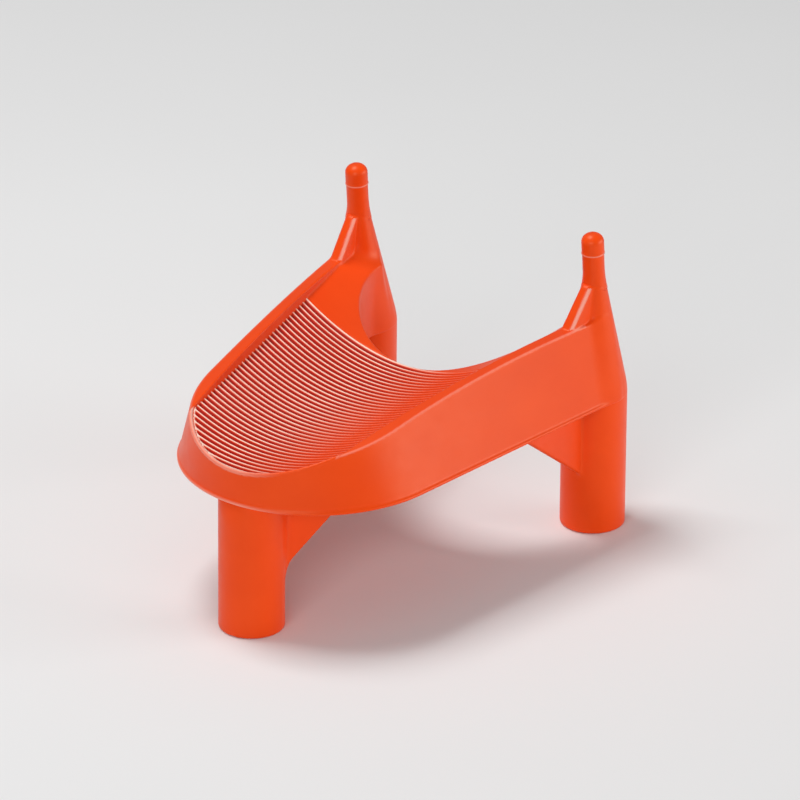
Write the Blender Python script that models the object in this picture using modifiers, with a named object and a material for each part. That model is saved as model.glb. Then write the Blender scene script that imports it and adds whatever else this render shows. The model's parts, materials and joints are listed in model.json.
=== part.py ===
"""Three-legged football kicking tee with a ribbed cradle and two flexible prongs.

Run with: blender --background --python part.py
Metres, +Z up.  +Y points from the rounded nose to the two prongs, +X to the right
when standing in front of the nose.  The origin is on the ground under the middle
of the tee.  The moulding is divided where its features meet, with a small gap.
"""

from math import cos, pi, radians, sin, sqrt, tan

import bmesh
import bpy

# Driving dimensions -------------------------------------------------------------

GAP = 0.0003                    # clearance between neighbouring solids
WALL = 0.0030                   # thickness of the skirt and of the cradle floor

SKIRT_Z = 0.0415                # lower edge of the skirt above the ground
BLOCK_TOP_Z = 0.0684            # level at which the leaning walls are drawn
NOSE_Y = -0.0242                # centre of the rounded nose
SKIRT_HALF_WIDTH = 0.0396       # nose ellipse at the skirt edge, across
SKIRT_REACH = 0.0411            # nose ellipse at the skirt edge, forwards
SKIRT_TAPER = radians(7.0)      # each side opens by this much towards the rear
TOP_HALF_WIDTH = 0.0313
TOP_REACH = 0.0408
TOP_TAPER = radians(9.45)

CHANNEL_HALF_WIDTH = 0.0331     # inner edge of the ledge beside the origin
CHANNEL_TAPER = radians(8.2)
LEDGE_Z = 0.0670                # level of the side ledge at its rear end
LEDGE_END_Y = 0.0413            # where the ledge stops rising
LEDGE_DROP = 1.02               # metres of drop per square metre towards the nose
CREASE_ANGLE = radians(42.5)    # where the side ledge turns into the nose lip

FLOOR_NOSE_Z = 0.0516           # cradle floor on the centre line, at the lip
FLOOR_REAR_Z = 0.0522           # and at the rear notch
FLOOR_CURVE = 9.12              # rise of the floor per square metre of offset
RIB_COUNT = 40
RIB_PITCH = 0.00207
RIB_DEPTH = 0.0006
LAST_RIB_Y = 0.0197
NOTCH_Y = 0.0533                # centre of the round rear notch
NOTCH_RADIUS = 0.0333

FRONT_LEG_Y = -0.0567
REAR_LEG_X = 0.0408
REAR_LEG_Y = 0.0561
LEG_FOOT_RADIUS = 0.0096
LEG_RADIUS = 0.0097
LEG_BORE = 0.0066
LEG_BORE_DEPTH = 0.0370
SPIGOT_RADIUS = 0.0052          # solid core that carries on into the nose

SPLIT_Y = 0.0470                # where the side walls hand over to the columns
COLUMN_BASE_RADIUS = 0.0098
COLUMN_BASE_TOP_Z = 0.0433
COLUMN_TOP_RADIUS = 0.0037
COLUMN_TOP_Z = 0.0766

PRONG_X = 0.0416
PRONG_Y = 0.0536
PIVOT_Z = 0.0790                # the prong bends about this level
PRONG_LEAN = radians(5.0)       # and leans towards the nose at rest
PRONG_RADIUS = 0.0032
PRONG_ROOT_RADIUS = 0.0035
PARTING_Z = 0.0873              # ring between the shaft and its tip, along the prong
TIP_RADIUS = 0.0033
PRONG_TOP_Z = 0.0936

GUSSET_WIDTH = 0.0038
GUSSET_CHAMFER = 0.0006
GUSSET_FOOT_X = 0.0410
GUSSET_TURN = radians(6.0)      # follows the ledge outwards to the prong
GUSSET_TOP_Y = 0.0500
GUSSET_TOP_Z = 0.0768

WEB_THICKNESS = 0.00135
REAR_WEB_X = 0.0423
REAR_WEB_LOW_Z = 0.0192
REAR_WEB_FRONT_Y = 0.0168
FRONT_WEB_LOW_Z = 0.0180
FRONT_WEB_LENGTH = 0.0360
FRONT_WEB_SLOPE = 1.155
FRONT_WEB_ANGLE = radians(45.0)

ARC_STEPS = 30                  # facets round the nose
SIDE_STEPS = 5                  # facets along each straight side
ROUND_STEPS = 36                # facets round a leg or a column
CHANNEL_STEPS = 12              # facets across the cradle

ORANGE = (0.87, 0.075, 0.012, 1.0)
SIDES = ((1, "right"), (-1, "left"))


# Scene and object helpers ---------------------------------------------------------

def empty_scene():
    for old in list(bpy.data.objects):
        bpy.data.objects.remove(old, do_unlink=True)


def make_collection(name):
    collection = bpy.data.collections.new(name)
    bpy.context.scene.collection.children.link(collection)
    return collection


def place(name, mesh, collection):
    thing = bpy.data.objects.new(name, mesh)
    collection.objects.link(thing)
    return thing


def from_bmesh(name, bm, collection):
    bmesh.ops.recalc_face_normals(bm, faces=bm.faces)
    mesh = bpy.data.meshes.new(name)
    bm.to_mesh(mesh)
    bm.free()
    return place(name, mesh, collection)


def as_cutter(thing):
    thing.hide_render = True
    thing.display_type = "WIRE"
    return thing


def boolean(thing, other, operation):
    modifier = thing.modifiers.new(operation.lower(), "BOOLEAN")
    modifier.operation = operation
    modifier.object = other
    modifier.solver = "EXACT"


def finish(thing, smooth=False):
    """Give a sub-part its own moulded-rubber material and its shading."""
    material = bpy.data.materials.new(thing.name + "_rubber")
    material.use_nodes = True
    shader = material.node_tree.nodes["Principled BSDF"]
    shader.inputs["Base Color"].default_value = ORANGE
    shader.inputs["Roughness"].default_value = 0.38
    shader.inputs["Metallic"].default_value = 0.0
    thing.data.materials.append(material)
    if smooth:
        thing.data.shade_smooth()
        thing.data.set_sharp_from_angle(angle=radians(35))
    return thing


# Solid helpers --------------------------------------------------------------------

def skin(name, rings, collection):
    """A closed loft through rings with the same number of points."""
    bm = bmesh.new()
    loops = [[bm.verts.new(point) for point in ring] for ring in rings]
    count = len(rings[0])
    for lower, upper in zip(loops, loops[1:]):
        for i in range(count):
            j = (i + 1) % count
            bm.faces.new((lower[i], lower[j], upper[j], upper[i]))
    bm.faces.new(reversed(loops[0]))
    bm.faces.new(loops[-1])
    return from_bmesh(name, bm, collection)


def prism(name, outline, low, high, collection):
    """A flat outline in X and Y carried from one level to another."""
    rings = [[(x, y, z) for x, y in outline] for z in (low, high)]
    return skin(name, rings, collection)


def plate(name, outline, thickness, collection):
    """A flat outline in Y and Z, centred on X = 0."""
    half = thickness / 2
    rings = [[(x, y, z) for y, z in outline] for x in (-half, half)]
    return skin(name, rings, collection)


def turned(name, profile, collection, steps=ROUND_STEPS):
    """A turned solid; the profile lists (radius, height) from top to bottom."""
    bm = bmesh.new()
    points = [bm.verts.new((radius, 0, height)) for radius, height in profile]
    for first, second in zip(points, points[1:]):
        bm.edges.new((first, second))
    thing = from_bmesh(name, bm, collection)
    screw = thing.modifiers.new("turn", "SCREW")
    screw.axis = "Z"
    screw.steps = steps
    screw.render_steps = steps
    screw.use_merge_vertices = True
    screw.merge_threshold = 0.00001
    return thing


def ball(name, radius, centre, collection, steps=28):
    bm = bmesh.new()
    bmesh.ops.create_uvsphere(bm, u_segments=steps, v_segments=steps // 2, radius=radius)
    bmesh.ops.translate(bm, verts=bm.verts, vec=centre)
    return from_bmesh(name, bm, collection)


# Plan of the tee --------------------------------------------------------------------

def nose_outline(half_width, reach, taper, inset=0.0, rear=SPLIT_Y):
    """Half an ellipse round the nose, then straight sides that open to the rear."""
    points = []
    for i in range(ARC_STEPS + 1):
        turn = (pi / 2 - taper) * (2 * i / ARC_STEPS - 1)
        across, along = sin(turn), -cos(turn)
        reach_here = sqrt((half_width * across) ** 2 + (reach * along) ** 2)
        x = half_width ** 2 * across / reach_here - inset * across
        y = NOSE_Y + reach ** 2 * along / reach_here - inset * along
        points.append((x, y))
    end_x, end_y = points[-1]
    side = []
    for i in range(1, SIDE_STEPS + 1):
        along = (rear - end_y) * i / SIDE_STEPS
        side.append((end_x + along * tan(taper), end_y + along))
    other_side = [(-x, y) for x, y in reversed(side)]
    return other_side + points + side


def skirt_outline(inset=0.0, rear=SPLIT_Y):
    return nose_outline(SKIRT_HALF_WIDTH, SKIRT_REACH, SKIRT_TAPER, inset, rear)


def top_outline(inset=0.0, rear=SPLIT_Y):
    return nose_outline(TOP_HALF_WIDTH, TOP_REACH, TOP_TAPER, inset, rear)


def channel_half_width(y):
    return CHANNEL_HALF_WIDTH + y * tan(CHANNEL_TAPER)


def cradle_outline(inset=0.0, rear=SPLIT_Y):
    """Inner edge of the ledge, rounded behind the nose lip."""
    reach = TOP_REACH - WALL
    side = (CHANNEL_HALF_WIDTH + NOSE_Y * tan(CHANNEL_TAPER)) * cos(CHANNEL_TAPER)
    half_width = sqrt(side ** 2 - (reach * sin(CHANNEL_TAPER)) ** 2) / cos(CHANNEL_TAPER)
    return nose_outline(half_width, reach, CHANNEL_TAPER, inset, rear)


# Heights ------------------------------------------------------------------------------

def floor_height(x, y):
    lip_y = NOSE_Y - TOP_REACH
    share = (y - lip_y) / (NOTCH_Y - NOTCH_RADIUS - lip_y)
    return FLOOR_NOSE_Z + (FLOOR_REAR_Z - FLOOR_NOSE_Z) * share + FLOOR_CURVE * x * x


def underside_height(x, y):
    return floor_height(x, y) - WALL


def clear_height(x, y):
    """Highest level that a rib below the cradle may reach."""
    return floor_height(x, y) - WALL - GAP


def slab_half_width(y):
    """The floor slab is drawn wider than the tee and then trimmed."""
    return 0.052


def ledge_height(y):
    return LEDGE_Z - LEDGE_DROP * max(LEDGE_END_Y - y, 0.0) ** 2


def hollow_height(y):
    """Level up to which the space inside the skirt reaches."""
    return 0.0475 + 0.10 * (y - (NOSE_Y - SKIRT_REACH))


# Cutters --------------------------------------------------------------------------------

def floor_rows():
    """(y, depth) of every line across the cradle, from the rear to the nose."""
    rows = [(0.066, 0.0), (SPLIT_Y, 0.0), (0.033, 0.0), (LAST_RIB_Y + RIB_PITCH / 2, 0.0)]
    for i in range(RIB_COUNT):
        crest = LAST_RIB_Y - i * RIB_PITCH
        rows.append((crest, 0.0))
        rows.append((crest - RIB_PITCH / 2, RIB_DEPTH))
    rows.append((NOSE_Y - TOP_REACH - 0.003, RIB_DEPTH))
    return rows


def sheet(name, rows, width_at, height_at, level, collection):
    """A solid between a curved surface and a flat level."""
    bm = bmesh.new()
    grid = []
    for y, depth in rows:
        line = []
        for i in range(CHANNEL_STEPS + 1):
            x = width_at(y) * (2 * i / CHANNEL_STEPS - 1)
            line.append(bm.verts.new((x, y, height_at(x, y) - depth)))
        grid.append(line)
    for near, far in zip(grid, grid[1:]):
        for i in range(CHANNEL_STEPS):
            bm.faces.new((near[i], near[i + 1], far[i + 1], far[i]))
    border = [edge for edge in bm.edges if edge.is_boundary]
    wall = bmesh.ops.extrude_edge_only(bm, edges=border)["geom"]
    rim = [part for part in wall if isinstance(part, bmesh.types.BMVert)]
    for vertex in rim:
        vertex.co.z = level
    top_edges = [edge for edge in bm.edges if edge.is_boundary]
    bmesh.ops.contextual_create(bm, geom=top_edges)
    return from_bmesh(name, bm, collection)


def make_cutters(collection):
    """Every shared cutter, by name."""
    cutters = {}

    cutters["channel"] = sheet(
        "channel_cutter", floor_rows(), channel_half_width, floor_height, 0.080, collection)

    plain_rows = [(y / 1000, 0.0) for y in range(66, -73, -12)]
    cutters["floor_slab"] = sheet(
        "floor_slab", plain_rows, slab_half_width, underside_height, 0.080, collection)
    cutters["above_floor"] = sheet(
        "above_floor_cutter", plain_rows, slab_half_width, clear_height, 0.080, collection)

    steps = 16
    profile = [(y, ledge_height(y))
               for y in (LEDGE_END_Y - 0.110 * (1 - i / steps) for i in range(steps + 1))]
    outline = profile + [(0.070, LEDGE_Z), (0.070, 0.085), (profile[0][0], 0.085)]
    cutters["ledge"] = plate("ledge_cutter", outline, 0.130, collection)

    core = cradle_outline(rear=SPLIT_Y + 0.002)
    cutters["core"] = prism("core_cutter", core, 0.0455, 0.080, collection)

    for name, inset in (("hollow", WALL), ("inside", WALL + GAP)):
        low = skirt_outline(inset, SPLIT_Y + 0.002)
        high = top_outline(inset, SPLIT_Y + 0.002)
        drop = 0.0 if name == "hollow" else GAP
        rings = [[(x, y, 0.010) for x, y in low], [(x, y, SKIRT_Z) for x, y in low]]
        top_ring = []
        for (low_x, low_y), (high_x, high_y) in zip(low, high):
            level = hollow_height(low_y) - drop
            share = (level - SKIRT_Z) / (BLOCK_TOP_Z - SKIRT_Z)
            top_ring.append((low_x + (high_x - low_x) * share,
                             low_y + (high_y - low_y) * share, level))
        cutters[name] = skin(name + "_cutter", rings + [top_ring], collection)

    notch = [(NOTCH_RADIUS * cos(2 * pi * i / 96), NOTCH_Y + NOTCH_RADIUS * sin(2 * pi * i / 96))
             for i in range(96)]
    cutters["notch"] = prism("notch_cutter", notch, 0.020, 0.090, collection)

    for name, spare in (("wedge", -GAP / 2), ("wide_wedge", GAP / 2)):
        spread = 0.080 * sin(CREASE_ANGLE)
        far_y = NOSE_Y - 0.080 * cos(CREASE_ANGLE)
        apex_y = NOSE_Y + spare / sin(CREASE_ANGLE)
        side = spare / cos(CREASE_ANGLE)
        outline = [(0.0, apex_y), (-spread - side, far_y), (spread + side, far_y)]
        cutters[name] = prism(name + "_cutter", outline, 0.030, 0.080, collection)

    for cutter in cutters.values():
        as_cutter(cutter)
    return cutters


# Sub-parts ----------------------------------------------------------------------------

def wall_block(name, rear, collection):
    """The leaning outer shape of the skirt, from its lower edge upwards."""
    low = [(x, y, SKIRT_Z) for x, y in skirt_outline(rear=rear)]
    high = [(x, y, BLOCK_TOP_Z) for x, y in top_outline(rear=rear)]
    return skin(name, [low, high], collection)


def make_cradle(cutters, parts):
    """Ribbed floor of the ball cradle, with smooth cheeks behind the ribs."""
    thing = prism("cradle", cradle_outline(GAP, SPLIT_Y - GAP), 0.042, 0.078, parts)
    boolean(thing, cutters["floor_slab"], "INTERSECT")
    boolean(thing, cutters["notch"], "DIFFERENCE")
    boolean(thing, cutters["channel"], "DIFFERENCE")
    return finish(thing)


def make_nose_wall(cutters, parts):
    """Rounded front of the skirt; its top is the cradle's lip."""
    thing = wall_block("nose_wall", SPLIT_Y - GAP, parts)
    boolean(thing, cutters["wedge"], "INTERSECT")
    boolean(thing, cutters["core"], "DIFFERENCE")
    boolean(thing, cutters["hollow"], "DIFFERENCE")
    boolean(thing, cutters["channel"], "DIFFERENCE")
    boolean(thing, cutters["ledge"], "DIFFERENCE")
    return finish(thing)


def make_side_wall(side, label, cutters, parts, tools):
    """Leaning side of the skirt with the flat ledge along its top."""
    thing = wall_block(label + "_side_wall", SPLIT_Y - GAP, parts)
    half = [(0.001 * side, -0.080), (0.060 * side, -0.080), (0.060 * side, 0.060), (0.001 * side, 0.060)]
    region = as_cutter(prism(label + "_half_cutter", half, 0.030, 0.080, tools))
    boolean(thing, region, "INTERSECT")
    boolean(thing, cutters["wide_wedge"], "DIFFERENCE")
    boolean(thing, cutters["core"], "DIFFERENCE")
    boolean(thing, cutters["hollow"], "DIFFERENCE")
    boolean(thing, cutters["channel"], "DIFFERENCE")
    boolean(thing, cutters["ledge"], "DIFFERENCE")
    return finish(thing)


def make_rear_leg(side, label, parts):
    """Hollow post, open at the foot."""
    top = SKIRT_Z - GAP
    profile = [(0, top), (LEG_RADIUS, top), (LEG_FOOT_RADIUS, 0), (LEG_BORE, 0),
               (LEG_BORE, LEG_BORE_DEPTH), (0, LEG_BORE_DEPTH)]
    thing = turned(label + "_rear_leg", profile, parts)
    thing.location = (side * REAR_LEG_X, REAR_LEG_Y, 0)
    return finish(thing, smooth=True)


def make_front_leg(parts):
    """Hollow post whose solid core carries on up to the cradle floor."""
    top = SKIRT_Z - GAP
    spigot_top = floor_height(0, FRONT_LEG_Y) - WALL - 2 * GAP
    profile = [(0, spigot_top), (SPIGOT_RADIUS, spigot_top), (SPIGOT_RADIUS, top),
               (LEG_RADIUS, top), (LEG_FOOT_RADIUS, 0), (LEG_BORE, 0),
               (LEG_BORE, LEG_BORE_DEPTH), (0, LEG_BORE_DEPTH)]
    thing = turned("front_leg", profile, parts)
    thing.location = (0, FRONT_LEG_Y, 0)
    return finish(thing, smooth=True)


def column_ring(side, z, radius, grow=0.0):
    """One round section of the leaning rear column."""
    share = max(z - COLUMN_BASE_TOP_Z, 0.0) / (COLUMN_TOP_Z - COLUMN_BASE_TOP_Z)
    x = REAR_LEG_X + (PRONG_X - REAR_LEG_X) * share
    y = REAR_LEG_Y + (PRONG_Y - REAR_LEG_Y) * share
    radius += grow
    return [(side * (x + radius * cos(2 * pi * i / ROUND_STEPS)),
             y + radius * sin(2 * pi * i / ROUND_STEPS), z) for i in range(ROUND_STEPS)]


def column_body(side, name, collection, grow=0.0):
    rings = [column_ring(side, SKIRT_Z, COLUMN_BASE_RADIUS, grow),
             column_ring(side, COLUMN_BASE_TOP_Z, COLUMN_BASE_RADIUS, grow),
             column_ring(side, COLUMN_TOP_Z, COLUMN_TOP_RADIUS, grow)]
    return skin(name, rings, collection)


def prong_socket(side, name, tools):
    """Room for the ball-shaped root of a prong."""
    centre = (side * PRONG_X, PRONG_Y, PIVOT_Z)
    return as_cutter(ball(name, PRONG_ROOT_RADIUS + GAP, centre, tools))


def make_rear_column(side, label, cutters, parts, tools):
    """Tapering column over a rear leg, joined to the rear corner of the skirt."""
    thing = column_body(side, label + "_rear_column", parts)
    corner = wall_block(label + "_corner_shape", REAR_LEG_Y - 0.002, tools)
    half = [(0.020 * side, SPLIT_Y), (0.060 * side, SPLIT_Y), (0.060 * side, 0.070), (0.020 * side, 0.070)]
    region = as_cutter(prism(label + "_corner_cutter", half, 0.030, 0.080, tools))
    boolean(corner, region, "INTERSECT")
    boolean(corner, cutters["notch"], "DIFFERENCE")
    boolean(corner, cutters["channel"], "DIFFERENCE")
    boolean(corner, cutters["ledge"], "DIFFERENCE")
    as_cutter(corner)
    boolean(thing, corner, "UNION")
    boolean(thing, prong_socket(side, label + "_cup_cutter", tools), "DIFFERENCE")
    return finish(thing)


def make_gusset(side, label, parts, tools):
    """Sloping rib that braces the root of the prong from the ledge."""
    low = LEDGE_Z + GAP
    outline = [(LEDGE_END_Y, low), (GUSSET_TOP_Y, GUSSET_TOP_Z), (PRONG_Y, GUSSET_TOP_Z), (PRONG_Y, low)]
    thing = plate(label + "_prong_gusset", outline, GUSSET_WIDTH, parts)
    thing.location.x = side * (GUSSET_FOOT_X - LEDGE_END_Y * tan(GUSSET_TURN))
    thing.rotation_euler.z = -side * GUSSET_TURN
    bevel = thing.modifiers.new("edges", "BEVEL")
    bevel.width = GUSSET_CHAMFER
    bevel.segments = 1
    bevel.limit_method = "ANGLE"
    bevel.angle_limit = radians(60)
    room = as_cutter(column_body(side, label + "_column_room", tools, GAP))
    boolean(thing, room, "DIFFERENCE")
    boolean(thing, prong_socket(side, label + "_root_room", tools), "DIFFERENCE")
    behind = [(side * 0.030, GUSSET_TOP_Y + 0.0012), (side * 0.055, GUSSET_TOP_Y + 0.0012),
              (side * 0.055, 0.062), (side * 0.030, 0.062)]
    rear = as_cutter(prism(label + "_gusset_end_cutter", behind, 0.060, 0.080, tools))
    boolean(thing, rear, "DIFFERENCE")
    return finish(thing)


def make_prong(side, label, parts, tools):
    """Flexible prong: a shaft with a ball-shaped root, and its slightly wider tip."""
    pivot = bpy.data.objects.new(label + "_prong_pivot", None)
    parts.objects.link(pivot)
    pivot.location = (side * PRONG_X, PRONG_Y, PIVOT_Z)
    pivot.rotation_euler.x = PRONG_LEAN

    shaft_top = PARTING_Z - PIVOT_Z - GAP
    arc = [(PRONG_ROOT_RADIUS * cos(radians(a)), PRONG_ROOT_RADIUS * sin(radians(a)))
           for a in range(25, -91, -15)]
    arc[-1] = (0, -PRONG_ROOT_RADIUS)
    profile = [(0, shaft_top), (PRONG_RADIUS, shaft_top), (PRONG_RADIUS, 0.0020)] + arc
    shaft = turned(label + "_prong_shaft", profile, parts, steps=24)
    shaft.parent = pivot

    low = PARTING_Z - PIVOT_Z
    dome_z = PRONG_TOP_Z - PIVOT_Z - TIP_RADIUS
    dome = [(TIP_RADIUS * sin(radians(a)), dome_z + TIP_RADIUS * cos(radians(a)))
            for a in range(0, 91, 15)]
    dome[0] = (0, dome_z + TIP_RADIUS)
    tip = turned(label + "_prong_tip", dome + [(TIP_RADIUS, low), (0, low)], parts, steps=24)
    tip.parent = pivot
    return finish(shaft, smooth=True), finish(tip, smooth=True)


def make_rear_web(side, label, cutters, parts):
    """Triangular rib under the side wall, in front of a rear leg."""
    back = REAR_LEG_Y - LEG_RADIUS - GAP
    outline = [(back, REAR_WEB_LOW_Z), (back, 0.065), (REAR_WEB_FRONT_Y, 0.065), (REAR_WEB_FRONT_Y, SKIRT_Z)]
    thing = plate(label + "_rear_leg_web", outline, WEB_THICKNESS, parts)
    thing.location.x = side * REAR_WEB_X
    boolean(thing, cutters["inside"], "INTERSECT")
    boolean(thing, cutters["above_floor"], "DIFFERENCE")
    return finish(thing)


def make_front_web(side, label, cutters, parts):
    """Triangular rib from the front leg out towards the side of the skirt."""
    start = LEG_RADIUS + GAP
    end = start + FRONT_WEB_LENGTH - LEG_RADIUS
    high = FRONT_WEB_LOW_Z + FRONT_WEB_SLOPE * (end - start)
    outline = [(start, FRONT_WEB_LOW_Z), (start, 0.065), (end, 0.065), (end, high)]
    thing = plate(label + "_front_leg_web", outline, WEB_THICKNESS, parts)
    thing.location.y = FRONT_LEG_Y
    thing.rotation_euler.z = -side * FRONT_WEB_ANGLE
    boolean(thing, cutters["above_floor"], "DIFFERENCE")
    return finish(thing)


def main():
    empty_scene()
    parts = make_collection("kicking_tee")
    tools = make_collection("cutters")
    cutters = make_cutters(tools)
    make_cradle(cutters, parts)
    make_nose_wall(cutters, parts)
    make_front_leg(parts)
    for side, label in SIDES:
        make_side_wall(side, label, cutters, parts, tools)
        make_rear_leg(side, label, parts)
        make_rear_column(side, label, cutters, parts, tools)
        make_gusset(side, label, parts, tools)
        make_prong(side, label, parts, tools)
        make_rear_web(side, label, cutters, parts)
        make_front_web(side, label, cutters, parts)


main()
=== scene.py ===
"""Looks of the three-legged football kicking tee: one orange rubber moulding.

The skins are made in millimetres from signed distances, which blend the walls, columns,
gussets, legs and webs into each other as a mould does, and are scaled to metres at the end.
"""

import json
from math import cos, pi, radians, sin, tan

import bmesh
import bpy
import numpy as np
from mathutils import Matrix, Vector


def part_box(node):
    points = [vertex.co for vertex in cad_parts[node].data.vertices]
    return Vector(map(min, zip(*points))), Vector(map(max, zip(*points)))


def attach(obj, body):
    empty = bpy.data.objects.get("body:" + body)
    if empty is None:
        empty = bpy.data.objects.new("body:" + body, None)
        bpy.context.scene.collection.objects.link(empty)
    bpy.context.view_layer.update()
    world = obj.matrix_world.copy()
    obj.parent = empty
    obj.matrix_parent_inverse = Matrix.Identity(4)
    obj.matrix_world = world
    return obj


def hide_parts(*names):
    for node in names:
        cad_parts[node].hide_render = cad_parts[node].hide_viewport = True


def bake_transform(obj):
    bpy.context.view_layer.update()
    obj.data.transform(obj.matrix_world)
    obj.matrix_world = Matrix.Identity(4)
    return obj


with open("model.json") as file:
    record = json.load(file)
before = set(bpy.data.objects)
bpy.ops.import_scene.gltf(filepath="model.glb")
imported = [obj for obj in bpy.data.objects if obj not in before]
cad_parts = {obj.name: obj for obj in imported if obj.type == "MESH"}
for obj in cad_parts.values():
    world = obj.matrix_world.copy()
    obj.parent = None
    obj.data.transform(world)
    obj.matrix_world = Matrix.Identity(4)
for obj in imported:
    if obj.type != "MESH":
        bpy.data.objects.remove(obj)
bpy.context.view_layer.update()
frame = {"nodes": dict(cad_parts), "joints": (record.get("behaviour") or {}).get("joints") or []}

MM = 0.001


# Places that come from the frame, in millimetres ---------------------------------------

def box_mm(node):
    low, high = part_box(node)
    return np.array(low) / MM, np.array(high) / MM


def leg_place(node):
    """(x, y, radius) of a round leg."""
    low, high = box_mm(node)
    return (low[0] + high[0]) / 2, (low[1] + high[1]) / 2, (high[0] - low[0]) / 2


FRONT_LEG = leg_place("front_leg")
REAR_LEG = leg_place("right_rear_leg")
SKIRT_Z = box_mm("nose_wall")[0][2]
LEDGE_Z = box_mm("right_side_wall")[1][2]
PRONG_TOP_Z = box_mm("right_prong_tip")[1][2] - 0.05
PIVOTS = {joint["child"]: np.array(joint["pos_m"]) / MM for joint in frame["joints"]}
PIVOT = PIVOTS["right_prong"]

# The moulding's own shape, in millimetres -----------------------------------------------

BLOCK_TOP_Z = 68.4              # level at which the top outline is drawn
NOSE_Y = -24.2                  # centre of the rounded nose
SKIRT_PLAN = (39.6, 41.1, radians(7.0))     # half width, reach and taper at the skirt's edge
TOP_PLAN = (31.2, 40.8, radians(9.45))      # and at the top
WALL = 3.0
SLAB = 3.0
WALL_LEAN = cos(radians(16.0))
EDGE = 0.5                      # rounding of the moulding's outer edges
BEAD_RADIUS = 0.5               # rounded bead along the skirt's lower edge

CHANNEL_HALF_WIDTH = 33.1
CHANNEL_TAPER = radians(8.2)
LEDGE_END_Y = 41.3
LEDGE_DROP = 0.00102
FLOOR_NOSE_Z = 51.6
FLOOR_REAR_Z = 52.2
FLOOR_CURVE = 0.00912
NOTCH_Y = 53.3
NOTCH_RADIUS = 33.3
CORNER_END_Y = 55.0

RIB_PITCH = 2.07
LAST_RIB_Y = 19.7
RIB_HEIGHT = 0.95
RIB_BED = 1.15                  # depth of the pocket that the ribbed sheet fills
RIB_MARGIN = 0.45               # smooth strip behind the last crest, inside that pocket
RIB_RUN_OUT = 0.8               # the ribs fade out over this width beside the lip
SHEET_SINK = 0.06               # the sheet's rim lies this far below the shell
SHEET_LAP = 0.6                 # and its underside this far into the slab
LIP = 1.5                       # width of the smooth lip round the nose
LIP_RADIUS = 0.5                # rounded bead along its edge
RIB_ROWS = 12
RIB_COLUMNS = 150

COLUMN_BASE_Z = 43.3
COLUMN_TOP_Z = 76.6
COLUMN_RADII = (REAR_LEG[2] - 0.03, 3.7)
LEG_BORE = 6.6
LEG_BORE_TOP = 37.0

PRONG_RADIUS = 3.2
TIP_RADIUS = 3.3
DOME_HEIGHT = 2.6
PRONG_LEAN = radians(5.0)
PARTING_RISE = 8.3              # ring below the tip, above the pivot

GUSSET_FOOT = (40.8, LEDGE_END_Y - 0.9, 2.1)    # x, y and half width where the ramp leaves the ledge
GUSSET_HEAD = (41.5, 49.6, 1.9)
GUSSET_TOP_Z = 78.2
GUSSET_CHAMFER = 0.95

WEB_HALF = 0.68
REAR_WEB = (19.2, 16.8)         # lowest level at the leg, and y where it meets the skirt's edge
REAR_WEB_SHIFT = 1.5            # the web stands this far outside the leg's axis
FRONT_WEB_LOW_Z = 18.0
FRONT_WEB_SLOPE = 1.155
FRONT_WEB_LENGTH = 36.0
FRONT_WEB_ANGLE = radians(45.0)

LIP_PAINTED_HIGHLIGHT = 0.9                  # share of the pale painted highlight colour on the edges that catch the lights
CHAMFER_PAINTED_HIGHLIGHT = 0.45
BEAD_PAINTED_HIGHLIGHT = 0.4
RING_PAINTED_HIGHLIGHT = 0.25
LEDGE_PAINTED_HIGHLIGHT = 0.22

SHELL_VOXEL = 0.4
LEG_VOXEL = 0.5


# Signed distances: negative inside the rubber ---------------------------------------------

def smooth_max(a, b, radius):
    """The larger of two distances, with the corner between them rounded."""
    share = np.clip(0.5 + 0.5 * (a - b) / radius, 0.0, 1.0)
    return b + (a - b) * share + radius * share * (1.0 - share)


def smooth_min(a, b, radius):
    return -smooth_max(-a, -b, radius)


def fade(value, none, full):
    """Share that grows from 0 to 1 as a value goes from none to full."""
    return np.clip((value - none) / (full - none), 0.0, 1.0)


def plan_distance(x, y, share):
    """Distance to the rounded nose and its straight sides, at a share of the wall's height."""
    across = np.abs(x)
    along = y - NOSE_Y
    half_width, reach, taper = (
        low + (high - low) * share for low, high in zip(SKIRT_PLAN, TOP_PLAN))
    limit = pi / 2 - taper
    best = np.full(x.shape, -1e6)
    turn = np.zeros(x.shape)
    for step in range(10):
        angle = limit * (step / 9)
        s, c = np.sin(angle), np.cos(angle)
        value = across * s - along * c - np.sqrt((half_width * s) ** 2 + (reach * c) ** 2)
        better = value > best
        best = np.where(better, value, best)
        turn = np.where(better, angle, turn)
    spread = half_width ** 2 - reach ** 2
    for _ in range(3):
        s, c = np.sin(turn), np.cos(turn)
        hull = np.sqrt((half_width * s) ** 2 + (reach * c) ** 2)
        slope = across * c + along * s - spread * s * c / hull
        bend = along * c - across * s - spread * ((c * c - s * s) / hull - spread * (s * c) ** 2 / hull ** 3)
        step = slope / np.minimum(bend, -1.0)
        turn = np.clip(turn - np.clip(step, -0.2, 0.2), 0.0, limit)
    s, c = np.sin(turn), np.cos(turn)
    return across * s - along * c - np.sqrt((half_width * s) ** 2 + (reach * c) ** 2)


def outer_wall(x, y, z):
    share = np.clip((z - SKIRT_Z) / (BLOCK_TOP_Z - SKIRT_Z), -0.5, 1.5)
    return plan_distance(x, y, share) * WALL_LEAN


def floor_level(x, y):
    """Smooth floor of the cradle, level with the crests of the ribs."""
    lip_y = NOSE_Y - TOP_PLAN[1]
    share = (y - lip_y) / (NOTCH_Y - NOTCH_RADIUS - lip_y)
    return FLOOR_NOSE_Z + (FLOOR_REAR_Z - FLOOR_NOSE_Z) * share + FLOOR_CURVE * x * x


def floor_slope(x):
    return np.sqrt(1.0 + (2.0 * FLOOR_CURVE * x) ** 2)


def ledge_level(y):
    return LEDGE_Z - LEDGE_DROP * np.maximum(LEDGE_END_Y - y, 0.0) ** 2


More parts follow.
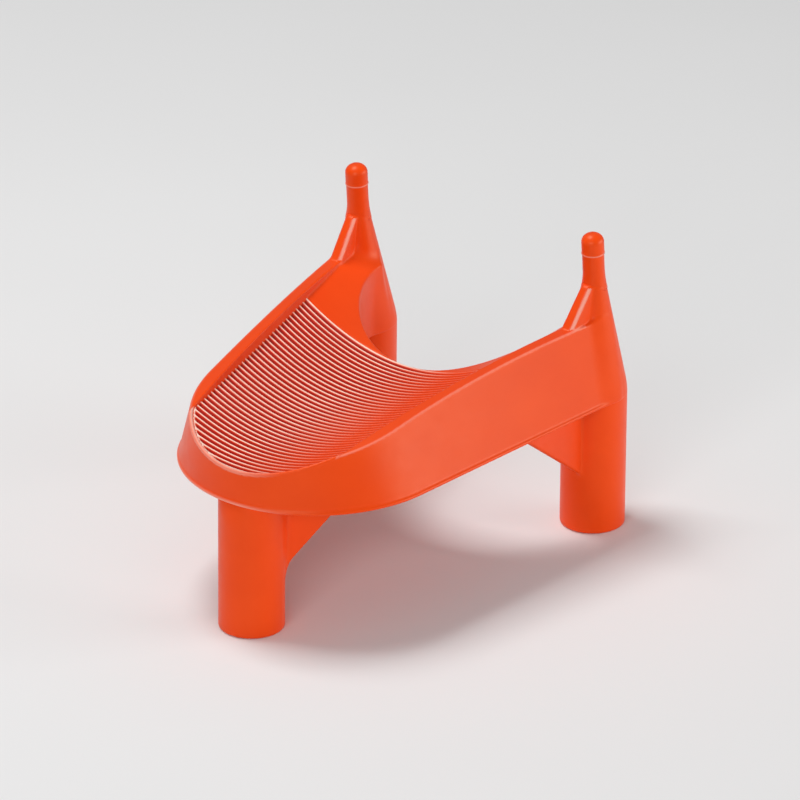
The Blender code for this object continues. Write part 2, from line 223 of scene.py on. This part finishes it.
def channel_side(x, y):
    """Negative between the inner edges of the two ledges."""
    return (np.abs(x) - CHANNEL_HALF_WIDTH - y * tan(CHANNEL_TAPER)) * cos(CHANNEL_TAPER)


def column_distance(x, y, z):
    share = np.clip((z - COLUMN_BASE_Z) / (COLUMN_TOP_Z - COLUMN_BASE_Z), -0.2, 1.1)
    rise = np.maximum(share, 0.0)
    centre_x = REAR_LEG[0] + (PIVOT[0] - REAR_LEG[0]) * rise
    centre_y = REAR_LEG[1] + (PIVOT[1] - REAR_LEG[1]) * rise
    radius = COLUMN_RADII[0] + (COLUMN_RADII[1] - COLUMN_RADII[0]) * share
    cone = (np.hypot(np.abs(x) - centre_x, y - centre_y) - radius) * 0.983
    post = np.hypot(np.abs(x) - REAR_LEG[0], y - REAR_LEG[1]) - COLUMN_RADII[0]
    column = smooth_max(cone, post, 0.8)
    return smooth_max(column, z - COLUMN_TOP_Z - 1.2, 0.8)


def gusset_faces(x, y, z):
    """Distances to the ramp's sloping face and to its nearer side."""
    foot_x, foot_y, foot_half = GUSSET_FOOT
    head_x, head_y, head_half = GUSSET_HEAD
    share = np.clip((y - foot_y) / (head_y - foot_y), -0.5, 1.5)
    centre_x = foot_x + (head_x - foot_x) * share
    half_width = foot_half + (head_half - foot_half) * share
    side = np.abs(np.abs(x) - centre_x) - half_width
    run, rise = head_y - foot_y, GUSSET_TOP_Z - LEDGE_Z
    length = np.hypot(run, rise)
    return ((z - LEDGE_Z) * run - (y - foot_y) * rise) / length, side


def gusset_distance(x, y, z):
    """Ramp from the end of the ledge up to the root of the prong."""
    slope, side = gusset_faces(x, y, z)
    chamfer = (slope + side + GUSSET_CHAMFER) * cos(pi / 4)
    ramp = smooth_max(np.maximum(slope, side), chamfer, 0.15)
    ramp = smooth_max(ramp, z - GUSSET_TOP_Z + 0.2, 0.8)
    return np.maximum(np.maximum(ramp, y - PIVOT[1]), LEDGE_Z - 5.0 - z)


def shell_distance(x, y, z):
    """Walls, ledges, cradle slab, columns and gussets as one skin."""
    slope = floor_slope(x)
    outer = outer_wall(x, y, z)
    above_floor = (floor_level(x, y) - z) / slope
    between_ledges = channel_side(x, y)
    notch = NOTCH_RADIUS - np.hypot(x, y - NOTCH_Y)
    column = column_distance(x, y, z)

    body = smooth_max(outer, z - ledge_level(y), EDGE)
    body = smooth_max(body, -smooth_max(between_ledges, above_floor, 0.5), EDGE)
    lip = np.hypot(outer + LIP_RADIUS - 0.15, above_floor + LIP_RADIUS - 0.2) - LIP_RADIUS
    body = smooth_min(body, np.maximum(lip, between_ledges), 0.3)
    body = smooth_max(body, notch, EDGE)
    body = smooth_max(body, y - CORNER_END_Y, 1.5)
    body = smooth_min(body, column, 2.4)
    body = smooth_min(body, gusset_distance(x, y, z), 0.5)

    hollow = np.maximum(outer, notch) + WALL
    hollow = np.maximum(hollow, SLAB - above_floor)
    hollow = np.maximum(hollow, 1.0 - column)
    body = smooth_max(body, -hollow, 0.8)
    body = smooth_max(body, SKIRT_Z - z, 0.7)
    bead = np.hypot(outer + 0.1, z - SKIRT_Z - BEAD_RADIUS) - BEAD_RADIUS
    bead = np.maximum(bead, y - REAR_LEG[1] + 4.0)
    body = smooth_min(body, bead, 0.4)

    pocket = np.maximum(outer + LIP, between_ledges)
    pocket = np.maximum(pocket, y - LAST_RIB_Y - RIB_MARGIN)
    pocket = np.maximum(pocket, above_floor - RIB_BED)
    return np.maximum(body, -pocket)


def leg_post(x, y, z, centre_x, centre_y, radius):
    """Round leg, a little slimmer than the column above it."""
    return np.hypot(x - centre_x, y - centre_y) - radius + 0.17


def hollow_foot(leg, x, y, z, centre_x, centre_y):
    bore = smooth_max(np.hypot(x - centre_x, y - centre_y) - LEG_BORE, z - LEG_BORE_TOP, 1.0)
    leg = smooth_max(leg, -bore, 0.6)
    return smooth_max(leg, -z, 0.9)


def under_shell(x, y, z):
    """Negative below the slab and inside the walls, with a little overlap into both."""
    share = np.clip((z - SKIRT_Z) / (BLOCK_TOP_Z - SKIRT_Z), 0.0, 1.0)
    roof = z - np.minimum(floor_level(x, y), ledge_level(y)) + SLAB - 1.0
    return np.maximum(plan_distance(x, y, share) + 1.0, roof)


def front_leg_distance(x, y, z):
    """Front leg and its two webs, which fade into it."""
    leg_x, leg_y, radius = FRONT_LEG
    post = leg_post(x, y, z, leg_x, leg_y, radius)
    skirt_line = plan_distance(x, y, 0.0 * z) + 0.2 - 0.3 * np.maximum(SKIRT_Z - z, 0.0)
    post = smooth_max(post, skirt_line, 1.2)
    outwards = np.abs(x) * sin(FRONT_WEB_ANGLE) + (y - leg_y) * cos(FRONT_WEB_ANGLE)
    sideways = np.abs(x) * cos(FRONT_WEB_ANGLE) - (y - leg_y) * sin(FRONT_WEB_ANGLE)
    lower = FRONT_WEB_LOW_Z + FRONT_WEB_SLOPE * (outwards - radius) - z
    lower /= np.hypot(1.0, FRONT_WEB_SLOPE)
    web = smooth_max(np.abs(sideways) - WEB_HALF, lower, 0.6)
    web = np.maximum(web, np.maximum(outwards - FRONT_WEB_LENGTH, -outwards))
    leg = smooth_min(post, web, 2.5)
    leg = np.maximum(leg, np.where(z > SKIRT_Z, under_shell(x, y, z), -1.0))
    return hollow_foot(leg, x, y, z, leg_x, leg_y)


def rear_leg_distance(x, y, z):
    """Right rear leg and the web in front of it."""
    leg_x, leg_y, radius = REAR_LEG
    post = leg_post(x, y, z, leg_x, leg_y, radius)
    post = np.maximum(post, z - SKIRT_Z - 1.0)
    low_z, far_y = REAR_WEB
    run, rise = leg_y - radius - far_y, SKIRT_Z - low_z
    lower = (low_z + (leg_y - radius - y) * rise / run - z) / np.hypot(1.0, rise / run)
    web = smooth_max(np.abs(x - leg_x - REAR_WEB_SHIFT) - WEB_HALF, lower, 0.6)
    web = np.maximum(web, np.maximum(far_y - 2.0 - y, y - leg_y))
    web = np.maximum(web, np.where(z > SKIRT_Z, under_shell(x, y, z), -1.0))
    leg = smooth_min(post, web, 0.8)
    leg = np.maximum(leg, np.where(y > leg_y - radius - 2.0, z - SKIRT_Z - 1.0, -1.0))
    return hollow_foot(leg, x, y, z, leg_x, leg_y)


# Meshes -----------------------------------------------------------------------------------

def add_mesh(name, points, faces):
    """An object from points in millimetres."""
    mesh = bpy.data.meshes.new(name)
    mesh.from_pydata((np.asarray(points) * MM).tolist(), [], faces)
    mesh.update()
    mesh.shade_smooth()
    thing = bpy.data.objects.new(name, mesh)
    bpy.context.scene.collection.objects.link(thing)
    return thing


def sample_field(distance, axes):
    """Distances at every node of a grid, one level at a time."""
    x, y = np.meshgrid(axes[0], axes[1], indexing="ij")
    levels = [distance(x, y, np.full(x.shape, z)) for z in axes[2]]
    return np.stack(levels, axis=2)


def net_points(field, cells):
    """Mean of the crossings on the twelve edges of each cell, in cell units."""
    corners = [(i, j, k) for i in (0, 1) for j in (0, 1) for k in (0, 1)]
    values = {c: field[tuple((cells + c).T)] for c in corners}
    total = np.zeros(cells.shape)
    number = np.zeros(len(cells))
    for a in corners:
        for axis in range(3):
            if a[axis] == 1:
                continue
            b = tuple(a[i] + (i == axis) for i in range(3))
            crosses = (values[a] < 0) != (values[b] < 0)
            gap = np.where(crosses, values[a] - values[b], 1.0)
            point = np.repeat(np.array([a], float), len(cells), axis=0)
            point[:, axis] += values[a] / gap
            total += np.where(crosses[:, None], point, 0.0)
            number += crosses
    return cells + total / number[:, None]


def net_faces(inside, index):
    """A quad round every grid edge that leaves or enters the rubber."""
    quads = []
    for axis in range(3):
        u, v = (axis + 1) % 3, (axis + 2) % 3
        first = np.take(inside, range(inside.shape[axis] - 1), axis=axis)
        second = np.take(inside, range(1, inside.shape[axis]), axis=axis)
        nodes = np.argwhere(first != second)
        leaving = first[tuple(nodes.T)]
        step_u, step_v = np.eye(3, dtype=int)[u], np.eye(3, dtype=int)[v]
        around = [nodes, nodes - step_u, nodes - step_u - step_v, nodes - step_v]
        quad = np.stack([index[tuple(cell.T)] for cell in around], axis=1)
        quads.append(np.where(leaving[:, None], quad, quad[:, ::-1]))
    return np.concatenate(quads)


def settle(distance, points, rounds=3, probe=0.02):
    """Moves the points onto the exact surface."""
    for _ in range(rounds):
        x, y, z = points.T
        value = distance(x, y, z)
        gradient = np.stack([
            distance(x + probe, y, z) - distance(x - probe, y, z),
            distance(x, y + probe, z) - distance(x, y - probe, z),
            distance(x, y, z + probe) - distance(x, y, z - probe)], axis=1) / (2 * probe)
        steepness = np.maximum((gradient ** 2).sum(axis=1), 0.2)
        move = np.clip(value / steepness, -0.3, 0.3)
        points = points - gradient * move[:, None]
    return points


def skin_from(distance, name, low, high, voxel):
    """Closed mesh of a signed distance inside a box; its grid is even about x = 0."""
    axes = [np.arange(a, b + voxel, voxel) for a, b in zip(low, high)]
    field = sample_field(distance, axes)
    inside = field < 0
    wide, deep, tall = (number - 1 for number in inside.shape)
    count = sum(inside[i:wide + i, j:deep + j, k:tall + k].astype(int)
                for i in (0, 1) for j in (0, 1) for k in (0, 1))
    active = (count > 0) & (count < 8)
    cells = np.argwhere(active)
    index = np.full(active.shape, -1)
    index[active] = np.arange(len(cells))
    points = net_points(field, cells) * voxel + np.array([axis[0] for axis in axes])
    return add_mesh(name, settle(distance, points), net_faces(inside, index).tolist())


def mirrored(thing, name):
    """The same mesh on the other side of the tee."""
    mesh = thing.data.copy()
    mesh.transform(Matrix.Diagonal((-1, 1, 1, 1)))
    mesh.flip_normals()
    twin = bpy.data.objects.new(name, mesh)
    bpy.context.scene.collection.objects.link(twin)
    return twin


def grid_faces(rows, columns, closed=False):
    """Quads between rows of points; closed joins each row's end to its start."""
    quads = []
    spans = columns if closed else columns - 1
    for row in range(rows - 1):
        for i in range(spans):
            a, b = row * columns + i, row * columns + (i + 1) % columns
            quads.append((a, b, b + columns, a + columns))
    return quads


# Pieces -----------------------------------------------------------------------------------

def add_attribute(piece, name, values):
    attribute = piece.data.attributes.new(name, "FLOAT", "POINT")
    attribute.data.foreach_set("value", values.ravel())


def shell_painted_highlight(x, y, z):
    """Painted highlight on the shell's edges where the lights catch them: most along the nose lip, least
    along the ledges' edges.
    """
    outer = outer_wall(x, y, z)
    above_floor = (floor_level(x, y) - z) / floor_slope(x)
    on_lip = fade(np.hypot(outer + LIP_RADIUS, above_floor + 0.25), 0.76, 0.36)
    on_lip *= fade(x, 14.0, 2.0) * (channel_side(x, y) < 0)

    slope, side = gusset_faces(x, y, z)
    on_chamfer = fade(np.abs(slope - side), GUSSET_CHAMFER, GUSSET_CHAMFER / 2)
    on_chamfer *= np.abs(slope + side + GUSSET_CHAMFER) < 0.12
    on_chamfer *= (z > LEDGE_Z + 0.3) & (z < GUSSET_TOP_Z - 0.8)
    on_chamfer *= (x > np.sign(x) * GUSSET_FOOT[0]) & (on_lip == 0)

    on_bead = fade(z - SKIRT_Z, 1.17, 0.27) * (outer > -0.25)
    on_bead *= fade(x, 18.0, 2.0) * fade(y, -18.0, -30.0)

    on_ledge = fade(np.hypot(outer, z - ledge_level(y)), 0.525, 0.175)
    on_ledge *= (channel_side(x, y) > 0) & (y < REAR_LEG[1] - COLUMN_RADII[0])
    return LIP_PAINTED_HIGHLIGHT * on_lip + CHAMFER_PAINTED_HIGHLIGHT * on_chamfer + BEAD_PAINTED_HIGHLIGHT * on_bead + LEDGE_PAINTED_HIGHLIGHT * on_ledge


def make_shell():
    reach = REAR_LEG[0] + COLUMN_RADII[0] + 1.0
    steps = round(reach / SHELL_VOXEL) + 0.5
    low = (-steps * SHELL_VOXEL, NOSE_Y - SKIRT_PLAN[1] - 1.0, SKIRT_Z - 1.0)
    high = (steps * SHELL_VOXEL, REAR_LEG[1] + COLUMN_RADII[0] + 1.0, COLUMN_TOP_Z + 2.0)
    piece = skin_from(shell_distance, "shell_skin", low, high, SHELL_VOXEL)
    x, y, z = np.array([vertex.co for vertex in piece.data.vertices]).T / MM
    # painted highlight on the shell's lit edges
    add_attribute(piece, "painted_highlight", shell_painted_highlight(x, y, z))
    return piece


def sheet_half_width(y):
    """How far the ribbed sheet reaches to each side, into the walls round it."""
    near, far = 0.0 * y, 0.0 * y + 45.0
    for _ in range(30):
        middle = (near + far) / 2
        limit = np.maximum(outer_wall(middle, y, floor_level(middle, y)) + LIP - 0.3,
                           channel_side(middle, y) - 0.4)
        near = np.where(limit < 0, middle, near)
        far = np.where(limit < 0, far, middle)
    return near


def rib_depth(x, y):
    """Depth of the ribbed surface below the crests."""
    wave = 0.5 - 0.5 * np.cos(2 * pi * (LAST_RIB_Y - y) / RIB_PITCH)
    lip = -outer_wall(x, y, floor_level(x, y)) - LIP
    ribbed = fade(lip, 0.0, RIB_RUN_OUT) * (y < LAST_RIB_Y)
    covered = (lip < 0) | (y > LAST_RIB_Y + RIB_MARGIN * 0.8)
    return RIB_HEIGHT * wave * ribbed + np.where(covered, SHEET_SINK, 0.0)


def make_ribs():
    """Ribbed sheet of the cradle: a closed solid that sits in the shell's pocket."""
    first = NOSE_Y - TOP_PLAN[1] + 1.2
    last = LAST_RIB_Y + RIB_MARGIN + 0.3
    count = int((last - first) / RIB_PITCH * RIB_ROWS)
    y = np.linspace(first, last, count)
    share = np.linspace(-1.0, 1.0, RIB_COLUMNS)
    x = sheet_half_width(y)[:, None] * share[None, :]
    y = np.repeat(y[:, None], RIB_COLUMNS, axis=1)
    # the last rows are drawn in so that the sheet stops at the rear notch
    notch_edge = NOTCH_Y - np.sqrt((NOTCH_RADIUS + 0.05) ** 2 - x * x * 0.8)
    straight = LAST_RIB_Y - 0.3
    shrink = (np.minimum(notch_edge, last) - straight) / (last - straight)
    y = np.where(y > straight, straight + (y - straight) * shrink, y)
    top = floor_level(x, y) - rib_depth(x, y)
    bottom = floor_level(x, y) - RIB_BED - SHEET_LAP
    size = count * RIB_COLUMNS
    points = np.concatenate([np.stack([x, y, z], axis=-1).reshape(-1, 3) for z in (top, bottom)])
    upper = grid_faces(count, RIB_COLUMNS)
    lower = [tuple(size + i for i in reversed(quad)) for quad in upper]
    rim = list(range(RIB_COLUMNS))
    rim += [row * RIB_COLUMNS + RIB_COLUMNS - 1 for row in range(1, count)]
    rim += [size - 1 - i for i in range(1, RIB_COLUMNS)]
    rim += [row * RIB_COLUMNS for row in range(count - 2, 0, -1)]
    sides = [(a, size + a, size + b, b) for a, b in zip(rim, rim[1:] + rim[:1])]
    piece = add_mesh("cradle_ribs", points, upper + lower + sides)
    depth = fade(rib_depth(x, y), 0.0, RIB_HEIGHT)
    # painted highlight on the rib crests, strongest on the left where the lights catch them
    painted_crest_highlight = fade(depth, 0.204, 0.034) * np.maximum(fade(x, 20.0, -4.0), 0.1) * (y < LAST_RIB_Y + 0.3)
    # painted shade in the rib grooves, deepest on the left
    painted_groove_shade = fade(depth, 0.08, 0.48) * np.maximum(fade(x, 24.0, -2.0), 0.25)
    add_attribute(piece, "painted_groove_shade", np.concatenate([painted_groove_shade, 0.0 * painted_groove_shade]))
    add_attribute(piece, "painted_highlight", np.concatenate([painted_crest_highlight, 0.0 * painted_crest_highlight]))
    return piece


def make_front_leg():
    x, y, radius = FRONT_LEG
    steps = round(FRONT_WEB_LENGTH * 0.75 / LEG_VOXEL) + 0.5
    low = (-steps * LEG_VOXEL, y - radius - 1.0, -1.0)
    high = (steps * LEG_VOXEL, y + FRONT_WEB_LENGTH * 0.75, 62.0)
    return skin_from(front_leg_distance, "front_leg_skin", low, high, LEG_VOXEL)


def make_rear_legs():
    x, y, radius = REAR_LEG
    low = (x - radius - 1.0, REAR_WEB[1] - 3.0, -1.0)
    high = (x + radius + 1.0, y + radius + 1.0, 66.0)
    right = skin_from(rear_leg_distance, "right_rear_leg_skin", low, high, LEG_VOXEL)
    return right, mirrored(right, "left_rear_leg_skin")


def prong_profile():
    """(height above the pivot, radius) from inside the column to the top of the tip."""
    base = [(-3.0, 0.0)]
    cone_slope = (COLUMN_RADII[0] - COLUMN_RADII[1]) / (COLUMN_TOP_Z - COLUMN_BASE_Z)
    pivot_z = PIVOT[2]
    for rise in (-3.0, -2.4, -1.8, -1.2):
        base.append((rise, COLUMN_RADII[1] + 0.04 + cone_slope * (COLUMN_TOP_Z - pivot_z - rise)))
    shaft = [(-0.4, 3.42), (0.4, 3.32), (1.4, 3.25), (2.6, PRONG_RADIUS + 0.01)]
    shaft += [(rise, PRONG_RADIUS) for rise in (4.0, 5.5, 7.0, PARTING_RISE - 0.35)]
    ring = [(PARTING_RISE - 0.22, PRONG_RADIUS + 0.02), (PARTING_RISE - 0.1, TIP_RADIUS + 0.1),
            (PARTING_RISE + 0.05, TIP_RADIUS + 0.12), (PARTING_RISE + 0.2, TIP_RADIUS + 0.04)]
    top = (PRONG_TOP_Z - pivot_z) / cos(PRONG_LEAN)
    tip = [(PARTING_RISE + 0.4, TIP_RADIUS), (top - DOME_HEIGHT - 1.2, TIP_RADIUS)]
    dome = [(top - DOME_HEIGHT * (1 - sin(radians(angle))), TIP_RADIUS * cos(radians(angle)))
            for angle in range(0, 91, 9)]
    dome[-1] = (top, 0.0)
    return base + shaft + ring + tip + dome


def make_prong(side, name):
    """Prong with its root, its parting ring and its rounded tip."""
    profile = prong_profile()
    steps = 48
    points = []
    for rise, radius in profile:
        lean = PRONG_LEAN * np.clip((rise + 1.0) / 3.0, 0.0, 1.0)
        base_y = (REAR_LEG[1] - PIVOT[1]) / (COLUMN_TOP_Z - COLUMN_BASE_Z)
        along_y = -sin(lean) * rise if rise > 0 else -base_y * rise
        centre = PIVOT + np.array([0.0, along_y, rise * cos(lean)])
        for i in range(steps):
            turn = 2 * pi * i / steps
            offset = np.array([cos(turn), sin(turn) * cos(lean), sin(turn) * sin(lean)])
            points.append(centre + offset * radius)
    piece = add_mesh(name, points, grid_faces(len(profile), steps, closed=True))
    # painted highlight on the parting ring below the tip
    ring = np.array([RING_PAINTED_HIGHLIGHT * (0.0 < rise - PARTING_RISE < 0.3) for rise, _ in profile])
    add_attribute(piece, "painted_highlight", np.repeat(ring, steps))
    clean = bmesh.new()
    clean.from_mesh(piece.data)
    bmesh.ops.remove_doubles(clean, verts=clean.verts, dist=0.000001)
    bmesh.ops.recalc_face_normals(clean, faces=clean.faces)
    if side < 0:
        bmesh.ops.scale(clean, vec=(-1, 1, 1), verts=clean.verts)
        bmesh.ops.reverse_faces(clean, faces=clean.faces)
    clean.to_mesh(piece.data)
    clean.free()
    piece.data.shade_smooth()
    return piece


# Material ---------------------------------------------------------------------------------

def rubber_material():
    """Orange moulded rubber, with painted shade in the rib grooves and painted highlights on the rib crests
    and lit edges.
    """
    material = bpy.data.materials.new("orange_moulded_rubber")
    material.use_nodes = True
    nodes, links = material.node_tree.nodes, material.node_tree.links
    shader = nodes["Principled BSDF"]
    place = nodes.new("ShaderNodeTexCoord").outputs["Object"]

    def noise(scale, detail, stretch=(1, 1, 1)):
        mapping = nodes.new("ShaderNodeMapping")
        mapping.inputs["Scale"].default_value = stretch
        links.new(place, mapping.inputs["Vector"])
        texture = nodes.new("ShaderNodeTexNoise")
        texture.inputs["Scale"].default_value = scale
        texture.inputs["Detail"].default_value = detail
        links.new(mapping.outputs["Vector"], texture.inputs["Vector"])
        return texture.outputs["Fac"]

    def ramp(value, low, high):
        node = nodes.new("ShaderNodeMapRange")
        node.inputs["From Min"].default_value = 0.3
        node.inputs["From Max"].default_value = 0.7
        node.inputs["To Min"].default_value = low
        node.inputs["To Max"].default_value = high
        links.new(value, node.inputs["Value"])
        return node.outputs["Result"]

    def tinted(colour, attribute, tint):
        share = nodes.new("ShaderNodeAttribute")
        share.attribute_name = attribute
        mix = nodes.new("ShaderNodeMix")
        mix.data_type = "RGBA"
        mix.inputs["B"].default_value = tint
        links.new(share.outputs["Fac"], mix.inputs["Factor"])
        links.new(colour, mix.inputs["A"])
        return mix.outputs["Result"]

    mottle = nodes.new("ShaderNodeMix")
    mottle.data_type = "RGBA"
    mottle.inputs["A"].default_value = (0.85, 0.058, 0.002, 1.0)
    mottle.inputs["B"].default_value = (0.89, 0.067, 0.003, 1.0)
    links.new(ramp(noise(45.0, 3.0, (1, 1, 1.6)), 0.0, 1.0), mottle.inputs["Factor"])
    # deep red painted shade in the grooves
    colour = tinted(mottle.outputs["Result"], "painted_groove_shade", (0.44, 0.006, 0.006, 1.0))
    # pale painted highlight on the rib crests and lit edges
    colour = tinted(colour, "painted_highlight", (1.0, 0.74, 0.62, 1.0))
    links.new(colour, shader.inputs["Base Color"])
    links.new(ramp(noise(260.0, 4.0), 0.34, 0.42), shader.inputs["Roughness"])
    shader.inputs["IOR"].default_value = 1.5
    shader.inputs["Specular IOR Level"].default_value = 0.35
    shader.inputs["Specular Tint"].default_value = (1.0, 0.78, 0.5, 1.0)

    peel = nodes.new("ShaderNodeBump")
    peel.inputs["Strength"].default_value = 0.15
    peel.inputs["Distance"].default_value = 0.00006
    links.new(noise(1500.0, 2.0), peel.inputs["Height"])
    flow = nodes.new("ShaderNodeBump")
    flow.inputs["Strength"].default_value = 0.12
    flow.inputs["Distance"].default_value = 0.0003
    links.new(noise(160.0, 3.0, (1, 0.25, 1)), flow.inputs["Height"])
    links.new(flow.outputs["Normal"], peel.inputs["Normal"])
    links.new(peel.outputs["Normal"], shader.inputs["Normal"])
    return material


# Build -------------------------------------------------------------------------------------

rubber = rubber_material()
shell = make_shell()
ribs = make_ribs()
front_leg = make_front_leg()
right_leg, left_leg = make_rear_legs()
prongs = {"right": make_prong(1, "right_prong_skin"), "left": make_prong(-1, "left_prong_skin")}

for piece in (shell, ribs, front_leg, right_leg, left_leg, *prongs.values()):
    piece.data.materials.append(rubber)
for node in frame["nodes"].values():
    node.data.materials.clear()
    node.data.materials.append(rubber)

for piece in (shell, ribs, front_leg, right_leg, left_leg):
    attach(piece, "tee")
for label, piece in prongs.items():
    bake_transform(piece)
    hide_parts(label + "_prong_shaft", label + "_prong_tip")
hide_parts("nose_wall", "left_side_wall", "right_side_wall", "left_rear_column", "right_rear_column",
            "left_prong_gusset", "right_prong_gusset")
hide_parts("cradle")
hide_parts("front_leg", "left_front_leg_web", "right_front_leg_web")
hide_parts("right_rear_leg", "right_rear_leg_web")
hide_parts("left_rear_leg", "left_rear_leg_web")


# Stage, light and camera ----------------------------------------------------------------------

def area_light(name, position, target, size, power, colour=(1, 1, 1)):
    light = bpy.data.lights.new(name, "AREA")
    light.shape = "RECTANGLE"
    light.size, light.size_y = size
    light.energy = power
    light.color = colour
    thing = bpy.data.objects.new(name, light)
    thing.location = position
    thing.rotation_euler = (Vector(target) - Vector(position)).to_track_quat("-Z", "Y").to_euler()
    bpy.context.scene.collection.objects.link(thing)


def make_stage():
    bpy.ops.mesh.primitive_plane_add(size=8.0, location=(0, 0, 0))
    floor = bpy.context.object
    floor.name = "stage_floor"
    material = bpy.data.materials.new("stage_paper")
    material.use_nodes = True
    nodes, links = material.node_tree.nodes, material.node_tree.links
    shader = nodes["Principled BSDF"]
    shader.inputs["Roughness"].default_value = 0.9
    grain = nodes.new("ShaderNodeTexNoise")
    grain.inputs["Scale"].default_value = 60.0
    tint = nodes.new("ShaderNodeMix")
    tint.data_type = "RGBA"
    tint.inputs["A"].default_value = (0.79, 0.79, 0.79, 1)
    tint.inputs["B"].default_value = (0.82, 0.82, 0.82, 1)
    links.new(grain.outputs["Fac"], tint.inputs["Factor"])
    links.new(tint.outputs["Result"], shader.inputs["Base Color"])
    floor.data.materials.append(material)

    world = bpy.data.worlds.new("studio")
    world.use_nodes = True
    world.node_tree.nodes["Background"].inputs["Color"].default_value = (1, 1, 1, 1)
    world.node_tree.nodes["Background"].inputs["Strength"].default_value = 0.26
    bpy.context.scene.world = world
    bpy.context.scene.view_settings.view_transform = "Standard"

    middle = (0, 0, 0.05)
    area_light("top_softbox", (-0.3, -0.05, 1.0), middle, (0.4, 0.35), 6.4)
    area_light("key_softbox", (1.0, 0.6, 0.22), middle, (0.9, 0.45), 6.6)
    area_light("front_fill", (0.45, -1.3, 0.55), middle, (0.7, 0.6), 7.2)


def make_camera():
    """The camera stands to the right of the nose and looks down on the tee."""
    azimuth, elevation = radians(36.0), radians(26.9)
    away = Vector((sin(azimuth) * cos(elevation), -cos(azimuth) * cos(elevation), sin(elevation)))
    right = Vector((cos(azimuth), sin(azimuth), 0.0))
    above = away.cross(right)
    origin = Vector((0.0, -0.057255, 0.0))
    distance, view_width = 2.565, 0.228
    eye = origin + away * distance
    look = right * 0.0426075 + above * 0.064182 - away * distance
    data = bpy.data.cameras.new("camera")
    data.sensor_width = 36.0
    data.lens = 36.0 * look.length / view_width
    camera = bpy.data.objects.new("camera", data)
    back = -look.normalized()
    side = (right - back * right.dot(back)).normalized()
    up = back.cross(side)
    camera.matrix_world = Matrix((
        (side.x, up.x, back.x, eye.x),
        (side.y, up.y, back.y, eye.y),
        (side.z, up.z, back.z, eye.z),
        (0, 0, 0, 1)))
    bpy.context.scene.collection.objects.link(camera)
    bpy.context.scene.camera = camera


make_stage()
make_camera()
